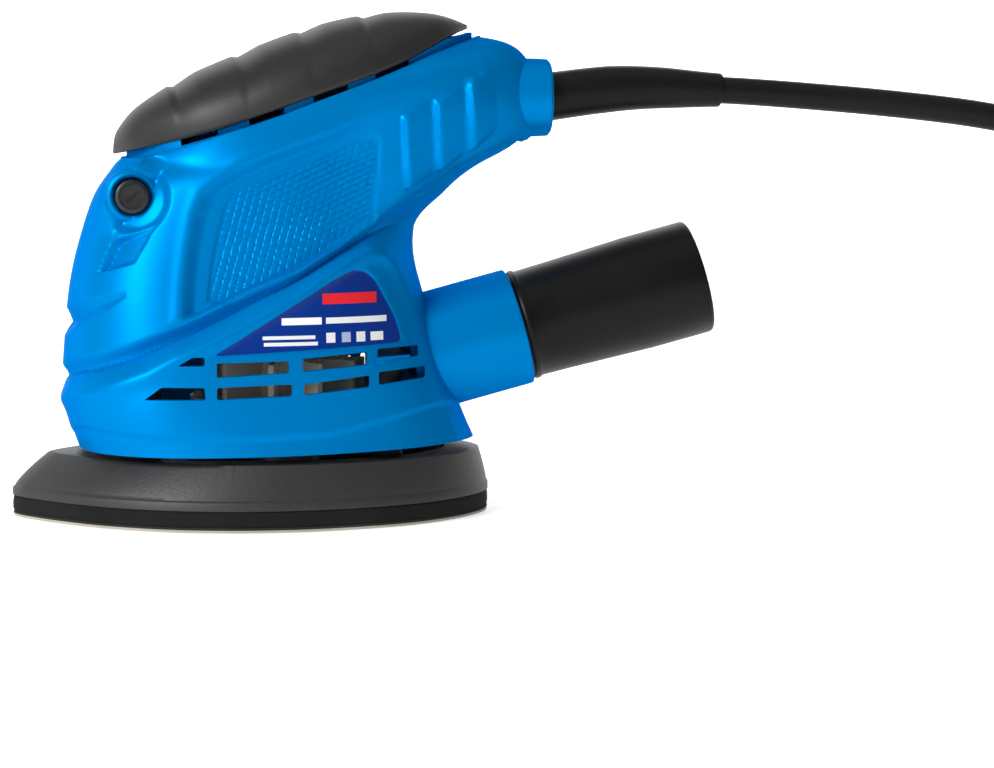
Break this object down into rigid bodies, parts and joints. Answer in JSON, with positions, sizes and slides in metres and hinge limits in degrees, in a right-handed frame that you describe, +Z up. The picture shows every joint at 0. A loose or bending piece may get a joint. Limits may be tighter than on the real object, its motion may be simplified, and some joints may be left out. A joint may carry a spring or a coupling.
{
  "type": "detail mouse sander",
  "caption": "Palm-held delta sander: two-half body, cushioned grip, orbiting triangular pad, push-through switch, dust spigot with hose adapter and a plugged mains lead.",
  "frame": {"origin": "on the sole (abrasive face), under the motor axis", "axes": "+X towards the back of the tool, where the cord and hose adapter leave; +Z up; the tool's left side is -Y"},
  "size_m": [0.4988, 0.1091, 0.1468],
  "materials": {
    "blue_shell": "satin blue ABS with a fine spark texture",
    "grip_rubber": "matt soft-touch rubber",
    "label_film": "satin printed film with plain bars",
    "cord_rubber": "satin flexible PVC",
    "black_plastic": "satin moulded plastic",
    "button_plastic": "satin moulded plastic",
    "grey_plastic": "moulded glass-filled plastic",
    "cream_plastic": "natural moulded nylon",
    "platen_plastic": "grained moulded plastic",
    "foam": "closed-cell foam",
    "hook_fabric": "brushed hook fabric",
    "abrasive": "coated abrasive sheet",
    "post_rubber": "moulded rubber",
    "steel": "zinc-plated steel",
    "plated_steel": "drawn plated steel",
    "bearing_steel": "ground steel",
    "laminations": "stacked electrical steel",
    "cast_metal": "die-cast metal",
    "brass": "stamped brass",
    "copper": "enamelled copper",
    "carbon": "pressed carbon",
    "ferrite": "sintered ferrite",
    "board": "phenolic board",
    "capacitor_case": "moulded film-capacitor case",
    "lead_insulation": "PVC insulation"
  },
  "bodies": {
    "housing": {"left_housing": "blue_shell", "right_housing": "blue_shell", "dust_spigot": "blue_shell", "grip_cover": "grip_rubber", "rating_label": "label_film", "cord_guard": "cord_rubber", "cord_lead": "cord_rubber", "cord_coil": "cord_rubber", "cord_tail": "cord_rubber", "plug_body": "black_plastic", "plug_fuse_carrier": "black_plastic", "plug_pins": "brass", "housing_screws": "steel", "clamp_screws": "steel", "shroud_screws": "steel", "cord_clamp": "black_plastic", "switch_body": "black_plastic", "internal_leads": "lead_insulation", "suppression_capacitor": "capacitor_case", "rectifier_board": "board", "motor_can": "plated_steel", "motor_magnets": "ferrite", "motor_end_cap": "grey_plastic", "upper_bearing": "bearing_steel", "lower_bearing": "bearing_steel", "brush_holders": "brass", "carbon_brushes": "carbon", "brush_springs": "steel", "fan_shroud": "grey_plastic", "support_posts": "post_rubber"},
    "switch": {"switch_button": "button_plastic"},
    "rotor": {"rotor_shaft": "bearing_steel", "armature_core": "laminations", "windings": "copper", "commutator": "copper", "fan": "cream_plastic", "counterweight": "cast_metal", "eccentric_hub": "bearing_steel", "eccentric_screw": "steel", "eccentric_washer": "steel"},
    "pad": {"eccentric_bearing": "bearing_steel", "platen": "platen_plastic", "foam_pad": "foam", "hook_sheet": "hook_fabric", "sanding_sheet": "abrasive", "platen_screws": "steel"},
    "adapter": {"hose_adapter": "black_plastic"}
  },
  "joints": [
    {"name": "switch_slide", "type": "slide", "parent": "housing", "child": "switch", "axis": [0, 1, 0], "range_m": [0, 0.0035]},
    {"name": "motor_spin", "type": "hinge", "parent": "housing", "child": "rotor", "pos_m": [0, 0, 0.06], "axis": [0, 0, 1], "continuous": true},
    {"name": "pad_orbit", "type": "hinge", "parent": "rotor", "child": "pad", "pos_m": [0.001, 0, 0.0165], "axis": [0, 0, 1], "continuous": true, "deforming": ["support_posts"]},
    {"name": "adapter_pull", "type": "slide", "parent": "housing", "child": "adapter", "axis": [0.9659, 0, 0.2588], "range_m": [0, 0.03]}
  ],
  "couplings": [
    {"joint": "pad_orbit", "follows": "motor_spin", "ratio": -1}
  ]
}
